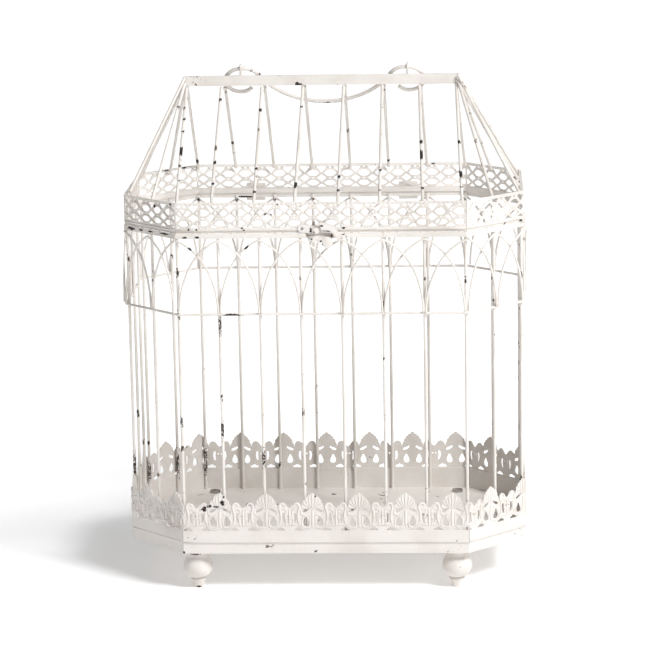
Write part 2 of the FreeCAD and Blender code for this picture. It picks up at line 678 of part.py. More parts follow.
def roof_wires():
    """Straight wires from the lid band up to the ridge bar."""
    flat = octagon_points(0.0)
    rows = {name: [] for name in BAR_GROUPS}
    step = 2 * size("roof_row_half") / BAYS[0]
    places = bar_places()
    for side, group in ((-1, "front"), (1, "rear")):
        first = 0 if side < 0 else 14
        for k in range(BAYS[0] + 1):
            way = 1 if side < 0 else -1
            top = Vector(way * (step * k - size("roof_row_half")), side * size("roof_spread"), size("roof_under"))
            if k in (0, BAYS[0]):
                end = 1 if top.x > 0 else -1
                top = Vector(end * CORNER_ROW_TOP[0], side * CORNER_ROW_TOP[1], CORNER_ROW_TOP[2])
            upper, lower = ROOF_SET[group][k]
            rows[group].append((top + Vector(upper, 0, 0), places[first + k], first + k, lower))
    for side, group, numbers in ((1, "right", (9, 10, 11, 12)), (-1, "left", (23, 24, 25, 26))):
        for k, number in enumerate(numbers):
            end = 1 if places[number].y > 0 else -1
            x, y, z = CORNER_TOP if k in (0, 3) else SIDE_TOP
            rows[group].append((Vector(side * x, end * y, z), places[number], number, 0.0))
    for number in BAR_GROUPS["chamfers"]:
        place = places[number]
        x, y, z = CHAMFER_TOP
        top = Vector(math.copysign(x, place.x), math.copysign(y, place.y), z)
        rows["chamfers"].append((top, place, number, 0.0))
    for group, wires in rows.items():
        made = []
        for top, place, number, lower in wires:
            upper_end = top + Vector(size("ridge_shift"), 0, 0)
            lower_end = roof_foot_point(top, place, flat) + Vector(lower, 0, 0)
            made.append(rod("roof_wire_%02d" % number, upper_end, lower_end, cell("bar_radius")))
        compound("roof_wires_" + group, made)


def roof_foot_point(top, place, flat):
    """Lower end of a roof wire, just inside the lid top rail beside a bar position."""
    wide, deep = flat[2].x, flat[4].y
    on_side = abs(abs(place.x) - wide) < 0.1
    on_front = abs(abs(place.y) - deep) < 0.1
    steep = math.sin(math.atan2(top.z - size("roof_foot"), math.hypot(top.x - place.x, top.y - place.y)))
    inward = size("bar_radius") * steep + size("fit_gap") - size("frame_inner")
    x, y = place.x, place.y
    if on_front:
        y -= math.copysign(inward, y)
        x -= math.copysign(inward * MITRE, x) if abs(abs(x) - size("front_half")) < 0.1 else 0.0
    elif on_side:
        x -= math.copysign(inward, x)
        y -= math.copysign(inward * MITRE, y) if abs(abs(y) - size("side_half")) < 0.1 else 0.0
    else:
        x -= math.copysign(inward * math.sqrt(0.5), x)
        y -= math.copysign(inward * math.sqrt(0.5), y)
    return Vector(x, y, size("roof_foot"))


def ridge_bar():
    bar = make("Part::Box", "ridge_bar", Length="2 * Sizes.ridge_half", Width=cell("ridge_thick"),
               Height=cell("ridge_height"))
    low = Vector(size("ridge_shift") - size("ridge_half"), -size("ridge_thick") / 2, size("ridge_bottom"))
    bar.Placement = Placement(low, Rotation())
    keep(bar, "ridge_bar")


def handle_eyelets():
    """Two rings on short stems on top of the ridge bar; the handle passes through them."""
    eyes = []
    for side in (-1, 1):
        ring = make("Part::Torus", "eyelet_ring", Radius1=cell("eye_major"), Radius2=cell("eye_minor"))
        ring.Placement = Placement(Vector(side * size("eye_span"), 0, size("eye_level")),
                                   Rotation(Vector(0, 1, 0), 90))
        stem = make("Part::Cylinder", "eyelet_stem", Radius=cell("eye_minor") + " * 1.3")
        base = size("ridge_bottom") + size("ridge_height")
        stem.Height = size("eye_level") - size("eye_major") - base - 0.1
        stem.Placement = Placement(Vector(side * size("eye_span"), 0, base), Rotation())
        eye = doc.addObject("Part::Fuse", "eyelet")
        eye.Base = ring
        eye.Tool = stem
        eyes.append(eye)
    compound("handle_eyelets", eyes)


def handle():
    """Bent wire handle: a sagging grip between two scrolls, drawn flat and tilted onto the rear roof wires."""
    radius, span, depth = size("scroll_radius"), size("scroll_span"), size("grip_depth")
    grip = size("grip_radius")
    turn = math.radians(size("scroll_inner_angle"))
    left, edges = Vector(-span, -radius, 0), []

    def on_scroll(angle, reach=radius):
        """Point of the left scroll, measured from its top towards the middle of the box."""
        return left + Vector(reach * math.sin(angle), reach * math.cos(angle), 0)

    curl = size("curl_radius")
    curl_centre = left - Vector(radius - curl, 0, 0)

    def on_curl(angle, reach=curl):
        """Point of the tighter lower half, which leaves the scroll smoothly at its outermost point."""
        return curl_centre + Vector(reach * math.sin(angle), reach * math.cos(angle), 0)

    join, flank = on_scroll(turn), on_scroll(-math.pi / 2)
    tip_turn = math.radians(HANDLE_TIP_ANGLE)
    bottom = on_curl(-math.pi)
    near, tip = on_curl(-math.pi - tip_turn / 2, curl * 0.97), on_curl(-math.pi - tip_turn, curl * 0.9)
    scroll = (
        Part.Arc(tip, near, bottom).toShape(),
        Part.Arc(bottom, on_curl(-0.75 * math.pi), flank).toShape(),
        Part.Arc(flank, on_scroll(-math.pi / 4), on_scroll(0.0)).toShape(),
        Part.Arc(on_scroll(0.0), on_scroll(turn / 2), join).toShape(),
    )
    other = [edge.mirror(Vector(0, 0, 0), Vector(1, 0, 0)) for edge in scroll]
    sag = Part.Arc(join, Vector(0, -depth, 0), Vector(-join.x, join.y, 0)).toShape()
    edges = list(scroll) + [sag] + other[::-1]
    path = Part.Wire(Part.__sortEdges__(edges))
    tangent = Part.Arc(tip, near, bottom).tangent(0)[0]
    if abs(grip - sag.Curve.Radius) > 1.5:
        raise RuntimeError("the grip does not meet the scrolls smoothly: %.2f" % sag.Curve.Radius)
    tilt = Placement(Vector(0, 0, size("eye_level")), Rotation(Vector(1, 0, 0), 180 - size("handle_tilt")))
    place = path.copy()
    place.transformShape(tilt.toMatrix())
    wire = swept("handle_wire", place, tilt.multVec(tip), tilt.Rotation.multVec(tangent),
                 cell("handle_wire_radius"), "Transformed")
    keep(wire, "handle_wire")


def box(name, low, high):
    """Plain block between two corners."""
    block = doc.addObject("Part::Box", name)
    block.Length, block.Width, block.Height = (high[k] - low[k] for k in range(3))
    block.Placement = Placement(Vector(*low), Rotation())
    return block


def drum(name, radius, start, end):
    """Plain cylinder between two points; its radius follows the sheet."""
    return rod(name, Vector(*start), Vector(*end), radius)


def fused(name, parts):
    joined = doc.addObject("Part::MultiFuse", name)
    joined.Shapes = parts
    return joined


def cut(name, base, tool):
    left = doc.addObject("Part::Cut", name)
    left.Base = base
    left.Tool = tool
    return left


def hinge_leaf(name, middle, spans, low, high, inner, web_low):
    """Flat leaf with knuckles round the hinge pin, on the rear of the box."""
    rear = size("side_half") + size("corner_leg")
    pin_y, pin_z = rear + size("hinge_offset"), size("hinge_level")
    half = size("hinge_half")
    solids = [box(name + "_leaf", (middle - half, rear + inner, low),
                  (middle + half, rear + inner + size("leaf_thick"), high))]
    for k, (start, end) in enumerate(spans):
        solids.append(box("%s_web_%d" % (name, k), (middle + start, rear + inner, web_low),
                          (middle + end, pin_y, web_low + size("web_thick"))))
        solids.append(drum("%s_knuckle_%d" % (name, k), cell("barrel_radius"),
                           (middle + start, pin_y, pin_z), (middle + end, pin_y, pin_z)))
    bore = drum(name + "_bore", cell("hinge_bore"), (middle - 2 * half, pin_y, pin_z),
                (middle + 2 * half, pin_y, pin_z))
    return cut(name, fused(name + "_solid", solids), bore)


def hinges():
    """Two butt hinges at the rear: outer knuckles on the cage, middle knuckle on the lid, a pin through them."""
    half, knuckle, gap = size("hinge_half"), size("knuckle_half"), size("running_gap")
    rear = size("side_half") + size("corner_leg")
    pin_y, pin_z = rear + size("hinge_offset"), size("hinge_level")
    barrel, web = size("barrel_radius"), size("web_thick")
    body_leaves, lid_leaves, pins = [], [], []
    for side, name in ((-1, "left"), (1, "right")):
        middle = side * size("hinge_x")
        outer = ((-half, -knuckle - gap), (knuckle + gap, half))
        body_leaves.append(hinge_leaf("body_hinge_" + name, middle, outer, size("catch_bottom") + 0.6,
                                      pin_z - barrel + web, size("rim_outer") + size("fit_gap"), pin_z - barrel))
        lid_leaves.append(hinge_leaf("lid_hinge_" + name, middle, ((-knuckle, knuckle),),
                                     pin_z + barrel - web, size("band_bottom") + 6.0,
                                     size("band_inner") + size("band_thick") + size("fit_gap"),
                                     pin_z + barrel - web))
        pins.append(drum("hinge_pin_" + name, cell("pin_radius"), (middle - half - gap, pin_y, pin_z),
                         (middle + half + gap, pin_y, pin_z)))
    compound("hinge_leaves_body", body_leaves)
    compound("hinge_leaves_lid", lid_leaves)
    compound("hinge_pins", pins)


def front(x, offset, z):
    """Point in front of the front panel at an offset from its bars."""
    return (x, -(size("side_half") + size("corner_leg") + offset), z)


def front_plate(name, x_low, x_high, z_low, z_high, back, thick):
    low, high = front(x_low, back + thick, z_low), front(x_high, back, z_high)
    return box(name, low, high)


def catch():
    """Catch plate on the rim and the round stud riveted in it."""
    back, thick = size("rim_outer") + size("fit_gap"), size("catch_thick")
    x, z = size("stud_x"), size("stud_level")
    plate = front_plate("catch_face", -size("catch_half"), size("catch_half"), size("catch_bottom"),
                        size("catch_top"), back, thick)
    lobe = drum("catch_lobe", cell("stud_stem") + " + 1.2", front(x, back, z), front(x, back + thick, z))
    hole = drum("catch_hole", cell("stud_stem") + " + Sizes.fit_gap", front(x, back - 1, z),
                front(x, back + thick + 1, z))
    keep(cut("catch_plate", fused("catch_blank", [plate, lobe]), hole), "catch_plate")
    head_back = size("stud_head_back")
    stem = drum("stud_stem_rod", cell("stud_stem"), front(x, back, z), front(x, head_back, z))
    head = drum("stud_head_disc", cell("stud_head"), front(x, head_back, z),
                front(x, head_back + size("stud_rim"), z))
    rise = size("stud_front") - head_back - size("stud_rim")
    ball = (size("stud_head") ** 2 + rise ** 2) / (2 * rise)
    dome = doc.addObject("Part::Sphere", "stud_dome_ball")
    dome.Radius = ball
    dome.Placement = Placement(Vector(*front(x, size("stud_front") - ball, z)), Rotation())
    guard = drum("stud_dome_limit", cell("stud_head"), front(x, head_back + size("stud_rim"), z),
                 front(x, size("stud_front") + 1, z))
    cap = doc.addObject("Part::Common", "stud_dome")
    cap.Base = dome
    cap.Tool = guard
    keep(fused("catch_stud", [stem, head, cap]), "catch_stud")


def latch():
    """Latch plate with its ear and spacer boss, the hook and the rivet it turns on."""
    back, thick = size("band_inner") + size("band_thick") + size("fit_gap"), size("catch_thick")
    x, z = size("latch_x"), size("latch_level")
    x_low, x_high, z_low, z_high = LATCH_PLATE
    ear_x, ear_z, ear_radius, ear_hole = LATCH_EAR
    plate = front_plate("latch_face", x_low, x_high, z_low, z_high, back, thick)
    ear = drum("latch_ear", "%.3f" % ear_radius, front(ear_x, back, ear_z), front(ear_x, back + thick, ear_z))
    boss_front = size("hook_back") - size("running_gap")
    boss = drum("latch_boss", cell("boss_radius"), front(x, back + thick, z), front(x, boss_front, z))
    bores = fused("latch_bores", [
        drum("latch_bore", cell("rivet_bore"), front(x, back - 1, z), front(x, boss_front + 1, z)),
        drum("latch_ear_hole", "%.3f" % ear_hole, front(ear_x, back - 1, ear_z),
             front(ear_x, back + thick + 1, ear_z)),
    ])
    keep(cut("latch_plate", fused("latch_blank", [plate, ear, boss]), bores), "latch_plate")
    hook_front = size("hook_back") + size("hook_thick")
    head_back = hook_front + size("running_gap")
    shank = drum("latch_shank", cell("rivet_radius"), front(x, back, z), front(x, head_back, z))
    head = drum("latch_head", cell("rivet_head"), front(x, head_back, z), front(x, head_back + 1.0, z))
    keep(fused("latch_rivet", [shank, head]), "latch_rivet")
    hook()


def hook():
    """Crescent hook: a round head at the rivet and a curved arm that reaches down past the stud."""
    centre = Vector(size("crook_x"), size("crook_level"), 0)
    pivot = Vector(size("latch_x"), size("latch_level"), 0)
    outer, inner = size("crook_outer"), size("crook_inner")

    def round_centre(radius, degrees):
        angle = math.radians(degrees)
        return centre + Vector(radius * math.cos(angle), radius * math.sin(angle), 0)

    heel, tip, toe = round_centre(outer, 118.0), round_centre(outer - 0.6, -31.0), round_centre(inner, 152.0)
    arm = Part.Wire([
        Part.Arc(heel, round_centre(outer, 45.0), tip).toShape(),
        Part.Arc(tip, round_centre(inner + 0.2, 30.0), toe).toShape(),
        Part.makeLine(toe, pivot),
        Part.makeLine(pivot, heel),
    ])
    disc = Part.Face(Part.Wire(Part.makeCircle(size("hook_eye"), pivot)))
    flat = Part.Face(arm).fuse(disc).removeSplitter()
    bore = Part.makeCylinder(size("rivet_bore"), 2 * size("hook_thick"), pivot - Vector(0, 0, 0.5))
    solid = flat.extrude(Vector(0, 0, size("hook_thick"))).cut(bore).Solids[0]
    part = doc.addObject("Part::Feature", "latch_hook")
    part.Shape = solid
    part.Placement = Placement(Vector(*front(0, size("hook_back"), 0)), Rotation(Vector(1, 0, 0), 90))
    keep(part, "latch_hook")


def check_document():
    """Every object is sound and every sub-part has a valid solid shape."""
    doc.recompute()
    for part in doc.Objects:
        if "Invalid" in part.State or "Error" in part.State:
            raise RuntimeError("failed object: %s %s" % (part.Name, part.State))
    for node in NODES:
        shape = node.Shape
        if shape.isNull() or not shape.isValid() or not shape.Solids:
            raise RuntimeError("bad shape: %s" % node.Label)
        if any(solid.Volume <= 0 for solid in shape.Solids):
            raise RuntimeError("inside-out shape: %s" % node.Label)


def main():
    fill_sheet()
    tray()
    for corner, (x, y) in foot_places().items():
        foot(corner, x, y)
    foot_screws()
    bars()
    gallery_strip()
    waist_ring()
    arches()
    octagon_ring("body_rim", "rim_inner", "rim_outer", "rim_bottom", "rim_height")
    catch()
    octagon_ring("lid_frame", "frame_inner", "frame_outer", "frame_bottom", "frame_height")
    octagon_ring("lid_top_rail", "frame_inner", "frame_outer", "rail_bottom", "rail_height")
    lid_band()
    ridge_bar()
    roof_wires()
    handle_eyelets()
    handle()
    hinges()
    latch()
    check_document()
    os.makedirs("parts", exist_ok=True)
    for node in NODES:
        node.Shape.exportStep("parts/%s.step" % node.Label)


main()
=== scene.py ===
"""Looks of the octagonal wire cage card box: chipped antique white paint, pressed relief and solder.

Shapes are drawn in millimetres and turned into metres by MM.  +Z is up and the front faces -Y.
"""
import bpy
import json
import math
import random
from mathutils import Matrix, Vector


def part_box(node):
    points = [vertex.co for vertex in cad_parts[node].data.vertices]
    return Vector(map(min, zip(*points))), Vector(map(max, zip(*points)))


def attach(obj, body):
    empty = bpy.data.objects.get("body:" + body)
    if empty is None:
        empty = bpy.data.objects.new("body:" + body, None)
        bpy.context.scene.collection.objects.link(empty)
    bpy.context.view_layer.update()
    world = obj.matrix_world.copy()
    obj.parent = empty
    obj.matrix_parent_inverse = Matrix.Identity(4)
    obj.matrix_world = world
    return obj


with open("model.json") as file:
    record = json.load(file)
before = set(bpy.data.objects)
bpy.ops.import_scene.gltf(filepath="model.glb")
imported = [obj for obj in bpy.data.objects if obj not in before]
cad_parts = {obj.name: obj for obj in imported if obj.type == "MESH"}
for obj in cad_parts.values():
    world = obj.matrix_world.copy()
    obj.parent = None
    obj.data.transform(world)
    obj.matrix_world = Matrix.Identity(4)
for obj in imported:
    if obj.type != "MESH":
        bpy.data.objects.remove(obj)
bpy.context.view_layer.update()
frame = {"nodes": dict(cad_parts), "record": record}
MM = 0.001
SEED = 7
random.seed(SEED)

PAINT = (0.78, 0.742, 0.702)
PAINT_SHADE = (0.68, 0.638, 0.592)
PRIMER = (0.36, 0.31, 0.26)
PAINT_ROUGHNESS = 0.42
PAINT_GLOSS = 0.42
# dark of bare metal where the paint is gone, also used as painted shade for some latch marks
BARE_METAL_AND_SHADE = (0.018, 0.014, 0.012)
RUST = (0.10, 0.045, 0.022)
STEEL = (0.42, 0.41, 0.39)
# depth of the lumps in the paint and of the grain of the steel, in millimetres
PAINT_LUMP, STEEL_GRAIN = 0.2, 0.05
# what each end of a side grows by when the octagon is offset by one
MITRE = math.tan(math.pi / 8)
# bays between the bars of each side, counter-clockwise from the front, and the number of the first rear bar
BAYS = (7, 2, 3, 2, 7, 2, 3, 2)
REAR_FIRST = sum(BAYS[:4])
UP = Vector((0, 0, 1))


def middle(node):
    """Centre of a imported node's box."""
    low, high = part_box(node)
    return (low + high) / 2


def extent(node):
    """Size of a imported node's box."""
    low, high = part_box(node)
    return high - low


# plan of the cage, read from the bars, and the heights of its main levels
WIRE = extent("bars_front").y / 2
FRONT_HALF = extent("bars_front").x / 2 - WIRE
SIDE_HALF = extent("bars_right").y / 2 - WIRE
HALF_X = middle("bars_right").x
HALF_Y = middle("bars_rear").y
BAR_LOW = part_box("bars_front")[0].z
RING_Z = middle("waist_ring").z
RIM_LOW, RIM_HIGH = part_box("body_rim")[0].z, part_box("body_rim")[1].z
RIDGE_MIDDLE = middle("ridge_bar").x
RIDGE_HALF = extent("ridge_bar").x / 2
# sideways set of the roof wires of a long side, in bar order, in millimetres: upper end, lower end
FRONT_SET = (
    (0.0, 0.0), (-3.3, -4.5), (-1.5, -3.5), (0.7, -4.0), (2.5, -2.5), (2.8, -2.2), (1.9, -0.8), (0.0, -2.0),
)
REAR_SET = (
    (0.0, 0.0), (2.7, 0.0), (3.9, 0.0), (3.2, 0.0), (1.7, 0.0), (0.4, 0.0), (-0.8, 0.0), (0.0, 0.0),
)
# in millimetres: how far the roof wires' upper ends stand in from the ends of the ridge bar and out from its
# middle, and how far their feet stand in from the row of bars
ROOF_END_INSET = 1.5
ROOF_TOP_SPREAD = 1.9
ROOF_FOOT_INSET = 0.8


def corners_at(offset):
    """Octagon corners outside the bar centres, counter-clockwise from the front left corner."""
    a, b = FRONT_HALF + offset * MITRE, SIDE_HALF + offset * MITRE
    wide, deep = HALF_X + offset, HALF_Y + offset
    return [Vector((x, y, 0)) for x, y in (
        (-a, -deep), (a, -deep), (wide, -b), (wide, b), (a, deep), (-a, deep), (-wide, b), (-wide, -b))]


def bar_places():
    """Place, outward way and along way of every upright, counter-clockwise from the front left corner."""
    corners, places = corners_at(0), []
    for index, bays in enumerate(BAYS):
        start, end = corners[index], corners[(index + 1) % 8]
        for k in range(bays):
            along = (end - start).normalized()
            places.append((start.lerp(end, k / bays), Vector((along.y, -along.x, 0)), along))
    return places


BARS = bar_places()


class Strip:
    """A sheet strip bent round the octagon: maps a running length, a height and a lift to a point."""

    def __init__(self, inner, thick):
        """Inner face and thickness of the sheet, measured out from the bar centres."""
        self.outer = inner + thick
        self.sides, self.length = [], 0.0
        corners = corners_at(0)
        for index in range(8):
            base, end = corners[index], corners[(index + 1) % 8]
            along = (end - base).normalized()
            outward = Vector((along.y, -along.x, 0))
            low = self.length
            self.length += (end - base).length + 2 * inner * MITRE
            self.sides.append((low, self.length, low + inner * MITRE, base, along, outward))

    def point(self, run, height, lift=0.0):
        """Point at a running length and height, lifted off the outer face."""
        run %= self.length
        for low, high, zero, base, along, outward in self.sides:
            if low <= run <= high:
                return base + along * (run - zero) + outward * (self.outer + lift) + UP * height
        raise ValueError("no panel at this length")


# ---------------------------------------------------------------- meshes

class Soup:
    """Vertices and faces gathered for one mesh."""

    def __init__(self):
        """Starts empty."""
        self.verts, self.faces = [], []

    def tube(self, points, radii, outward, flat, sides=6):
        """Strand along points, closed at both ends; flat presses it against the sheet it lies on."""
        first = len(self.verts)
        count = len(points)
        for k, point in enumerate(points):
            before, after = points[max(k - 1, 0)], points[min(k + 1, count - 1)]
            way = (after - before).normalized()
            side = way.cross(outward[k]).normalized()
            out = side.cross(way).normalized()
            for j in range(sides):
                turn = 2 * math.pi * j / sides
                self.verts.append(point + side * (radii[k] * math.cos(turn))
                                  + out * (radii[k] * flat * math.sin(turn)))
        for k in range(count - 1):
            for j in range(sides):
                a, b = first + k * sides + j, first + k * sides + (j + 1) % sides
                self.faces.append((a, b, b + sides, a + sides))
        self.faces.append(tuple(first + j for j in reversed(range(sides))))
        last = first + (count - 1) * sides
        self.faces.append(tuple(last + j for j in range(sides)))

    def blob(self, centre, radii, axes, rough=0.12, rings=5, sides=8):
        """Lump of solder or paint: an ellipsoid with an uneven skin."""
        first = len(self.verts)
        ax, ay, az = axes
        self.verts.append(centre + az * radii[2])
        for i in range(1, rings):
            lift = math.pi * i / rings
            for j in range(sides):
                turn = 2 * math.pi * j / sides
                grow = 1 + random.uniform(-rough, rough)
                self.verts.append(centre + (ax * (radii[0] * math.sin(lift) * math.cos(turn))
                                            + ay * (radii[1] * math.sin(lift) * math.sin(turn))
                                            + az * (radii[2] * math.cos(lift))) * grow)
        self.verts.append(centre - az * radii[2])
        last = len(self.verts) - 1
        for j in range(sides):
            k = (j + 1) % sides
            self.faces.append((first, first + 1 + j, first + 1 + k))
            self.faces.append((last, last - sides + k, last - sides + j))
            for i in range(rings - 2):
                a, b = first + 1 + i * sides + j, first + 1 + i * sides + k
                self.faces.append((a, a + sides, b + sides, b))

    def piece(self, name, material, body, slot):
        """Turns the soup into an object that rides a body and wears the given material; slot is not used."""
        mesh = bpy.data.meshes.new(name)
        mesh.from_pydata([tuple(v) for v in self.verts], [], self.faces)
        mesh.validate()
        mesh.shade_smooth()
        mesh.materials.append(material)
        made = bpy.data.objects.new(name, mesh)
        bpy.context.scene.collection.objects.link(made)
        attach(made, body)


def smooth_line(points, steps, closed):
    """Catmull-Rom line through 2-D points."""
    count = len(points)
    spans = count if closed else count - 1
    out = []
    for k in range(spans):
        if closed:
            p = [points[(k + j) % count] for j in (-1, 0, 1, 2)]
        else:
            p = [points[min(max(k + j, 0), count - 1)] for j in (-1, 0, 1, 2)]
        for i in range(steps):
            u = i / steps
            out.append(tuple(
                0.5 * (2 * p[1][a] + (p[2][a] - p[0][a]) * u
                       + (2 * p[0][a] - 5 * p[1][a] + 4 * p[2][a] - p[3][a]) * u * u
                       + (3 * p[1][a] - p[0][a] - 3 * p[2][a] + p[3][a]) * u ** 3) for a in (0, 1)))
    out.append(points[0] if closed else points[-1])
    return out


# the part of a half wave that an open line swells and thins by
SWELL_START, SWELL_SPAN = 0.12, 0.76


def stroke(soup, strip, run, points, radius, taper=0.45, closed=False, flat=0.8, steps=4):
    """One raised line of a pressed pattern, drawn in millimetres about a run on a strip."""
    line = smooth_line(points, steps, closed)
    last = len(line) - 1
    places, radii, outs = [], [], []
    for k, (x, z) in enumerate(line):
        at, far = strip.point(run + x * MM, z * MM), strip.point(run + x * MM, z * MM, MM)
        places.append(at)
        outs.append((far - at).normalized())
        share = SWELL_START + SWELL_SPAN * k / last
        swell = 1.0 if closed else taper + (1 - taper) * math.sin(math.pi * share)
        radii.append(radius * MM * swell)
    soup.tube(places, radii, outs, flat)


# ---------------------------------------------------------------- materials

class Nodes:
    """Short names for building a node tree."""

    def __init__(self, name):
        """Starts an empty material."""
        self.material = bpy.data.materials.new(name)
        self.material.use_nodes = True
        self.tree = self.material.node_tree
        self.tree.nodes.clear()
        self.place = self.add("ShaderNodeTexCoord").outputs["Object"]

    def add(self, kind, **settings):
        """New node with these settings."""
        node = self.tree.nodes.new(kind)
        for key, value in settings.items():
            setattr(node, key, value)
        return node

    def put(self, socket, value):
        """Links a socket or sets a plain value."""
        if isinstance(value, bpy.types.NodeSocket):
            self.tree.links.new(value, socket)
        else:
            socket.default_value = value

    def math(self, operation, a, b, clamp=False):
        """Result of a sum on two numbers."""
        node = self.add("ShaderNodeMath", operation=operation, use_clamp=clamp)
        self.put(node.inputs[0], a)
        self.put(node.inputs[1], b)
        return node.outputs[0]

    def noise(self, scale, detail, rough=0.5, stretch=None):
        """Noise with this many lumps a metre, drawn out along an axis if asked."""
        where = self.vector("MULTIPLY", self.place, stretch) if stretch else self.place
        node = self.add("ShaderNodeTexNoise")
        self.put(node.inputs["Vector"], where)
        self.put(node.inputs["Scale"], scale)
        self.put(node.inputs["Detail"], detail)
        self.put(node.inputs["Roughness"], rough)
        return node.outputs["Fac"]

    def vector(self, operation, a, b):
        """Result of a sum on two vectors."""
        node = self.add("ShaderNodeVectorMath", operation=operation)
        self.put(node.inputs[0], a)
        self.put(node.inputs[1], b)
        return node.outputs["Value" if operation in ("DISTANCE", "LENGTH") else "Vector"]

    def step(self, value, low, high):
        """Smooth rise from 0 at low to 1 at high."""
        node = self.add("ShaderNodeMapRange", interpolation_type="SMOOTHSTEP")
        self.put(node.inputs["Value"], value)
        self.put(node.inputs["From Min"], low)
        self.put(node.inputs["From Max"], high)
        return node.outputs["Result"]

    def mix(self, share, a, b):
        """Colour between a and b."""
        node = self.add("ShaderNodeMix", data_type="RGBA")
        self.put(node.inputs["Factor"], share)
        self.put(node.inputs["A"], a if isinstance(a, bpy.types.NodeSocket) else (*a, 1.0))
        self.put(node.inputs["B"], b if isinstance(b, bpy.types.NodeSocket) else (*b, 1.0))
        return node.outputs["Result"]


def chip_and_shade_field(nodes, chips_and_shade):
    """Greatest nearness to any of the listed marks, chipped spots and painted shade alike: 1 at a mark's
    middle and 0 outside its ellipsoid.
    """
    field = None
    for centre, radii in chips_and_shade:
        scale = tuple(1.0 / r for r in radii)
        scaled = nodes.vector("MULTIPLY", nodes.place, scale)
        near = nodes.vector("DISTANCE", scaled, tuple(c * f for c, f in zip(centre, scale)))
        near = nodes.math("SUBTRACT", 1.0, near, clamp=True)
        field = near if field is None else nodes.math("MAXIMUM", field, near)
    return field


def paint(name, chips_and_shade, wear, speckle):
    """Brushed antique white paint over dark steel: mottled, lumpy, chipped and worn on its edges, and
    darkened at the listed marks, some of them painted shade.
    """
    nodes = Nodes(name)
    broad = nodes.noise(28.0, 3.0)
    fine = nodes.noise(420.0, 4.0, 0.6)
    grain = nodes.noise(1700.0, 2.0)
    tone = nodes.mix(nodes.step(broad, 0.42, 0.72), PAINT, PAINT_SHADE)
    tone = nodes.mix(nodes.math("MULTIPLY", nodes.step(fine, 0.52, 0.75), 0.35), tone, PAINT_SHADE)
    # random flakes come in loose groups
    group = nodes.step(nodes.noise(46.0, 2.0), 0.66 - 0.05 * speckle, 0.70)
    flake = nodes.step(nodes.noise(330.0, 3.0, 0.55), 0.66 - 0.03 * speckle, 0.675 - 0.02 * speckle)
    flakes = nodes.math("MULTIPLY", group, flake)
    # paint rubs off the sharp edges here and there
    edge = nodes.add("ShaderNodeNewGeometry").outputs["Pointiness"]
    edge = nodes.step(edge, 0.56, 0.64)
    rubbed = nodes.math("MULTIPLY", edge, nodes.step(nodes.noise(90.0, 4.0, 0.6), 0.66 - 0.1 * wear, 0.70))
    bare_and_shade = nodes.math("MAXIMUM", flakes, rubbed, clamp=True)
    # the listed marks, chipped spots and painted shade alike, have torn outlines
    field = chip_and_shade_field(nodes, chips_and_shade)
    tear = nodes.math("SUBTRACT", nodes.noise(620.0, 4.0, 0.62), 0.5)
    torn = nodes.math("ADD", field, nodes.math("MULTIPLY", tear, 1.7))
    torn = nodes.math("MULTIPLY", nodes.step(torn, 0.24, 0.28), nodes.step(field, 0.0, 0.04))
    bare_and_shade = nodes.math("MAXIMUM", bare_and_shade, torn)
    rim = nodes.step(bare_and_shade, 0.1, 0.6)
    # dark bare metal with rust, and painted shade where a listed mark stands for shadow
    metal_and_shade = nodes.mix(nodes.step(nodes.noise(260.0, 3.0), 0.52, 0.70), BARE_METAL_AND_SHADE, RUST)
    colour = nodes.mix(rim, tone, PRIMER)
    colour = nodes.mix(nodes.step(bare_and_shade, 0.35, 0.75), colour, metal_and_shade)
    shader = nodes.add("ShaderNodeBsdfPrincipled")
    nodes.put(shader.inputs["Base Color"], colour)
    uneven = nodes.math("MULTIPLY", nodes.math("SUBTRACT", fine, 0.5), 0.3)
    roughness = nodes.math("ADD", PAINT_ROUGHNESS, uneven)
    nodes.put(shader.inputs["Roughness"], nodes.math("ADD", roughness, nodes.math("MULTIPLY", bare_and_shade, 0.2)))
    shader.inputs["Specular IOR Level"].default_value = PAINT_GLOSS
    height = nodes.math("SUBTRACT", nodes.math("MULTIPLY", fine, 0.8), nodes.math("MULTIPLY", bare_and_shade, 0.7))
    height = nodes.math("ADD", height, nodes.math("MULTIPLY", grain, 0.15))
    bump = nodes.add("ShaderNodeBump")
    nodes.put(bump.inputs["Height"], height)
    bump.inputs["Strength"].default_value = 0.55
    bump.inputs["Distance"].default_value = PAINT_LUMP * MM
    nodes.put(shader.inputs["Normal"], bump.outputs["Normal"])
    out = nodes.add("ShaderNodeOutputMaterial")
    nodes.put(out.inputs["Surface"], shader.outputs["BSDF"])
    return nodes.material


def bare_steel(name):
    """Plain steel with a turned grain and a little tarnish."""
    nodes = Nodes(name)
    streak = nodes.noise(900.0, 3.0, 0.6, stretch=(1.0, 1.0, 8.0))
    tarnish = nodes.step(nodes.noise(200.0, 4.0), 0.45, 0.7)
    shader = nodes.add("ShaderNodeBsdfPrincipled")
    shader.inputs["Metallic"].default_value = 1.0
    nodes.put(shader.inputs["Base Color"], nodes.mix(tarnish, STEEL, RUST))
    nodes.put(shader.inputs["Roughness"], nodes.math("ADD", 0.28, nodes.math("MULTIPLY", streak, 0.25)))
    bump = nodes.add("ShaderNodeBump")
    nodes.put(bump.inputs["Height"], streak)
    bump.inputs["Strength"].default_value = 0.2
    bump.inputs["Distance"].default_value = STEEL_GRAIN * MM
    nodes.put(shader.inputs["Normal"], bump.outputs["Normal"])
    out = nodes.add("ShaderNodeOutputMaterial")
    nodes.put(out.inputs["Surface"], shader.outputs["BSDF"])
    return nodes.material


# ---------------------------------------------------------------- chipped spots in the paint, and painted shade on the latch

# how far a chip on a bar reaches round it, and how far out a corner panel's sheet stands, in millimetres
BAR_CHIP_REACH = 1.9
CHAMFER_OUT = 1.4


def bar_chip(number, low, high):
    """Chip on an upright wire between two heights, in millimetres."""
    place, reach = BARS[number][0], BAR_CHIP_REACH * MM
    return (place.x, place.y, (low + high) / 2 * MM), (reach, reach, (high - low) / 2 * MM)


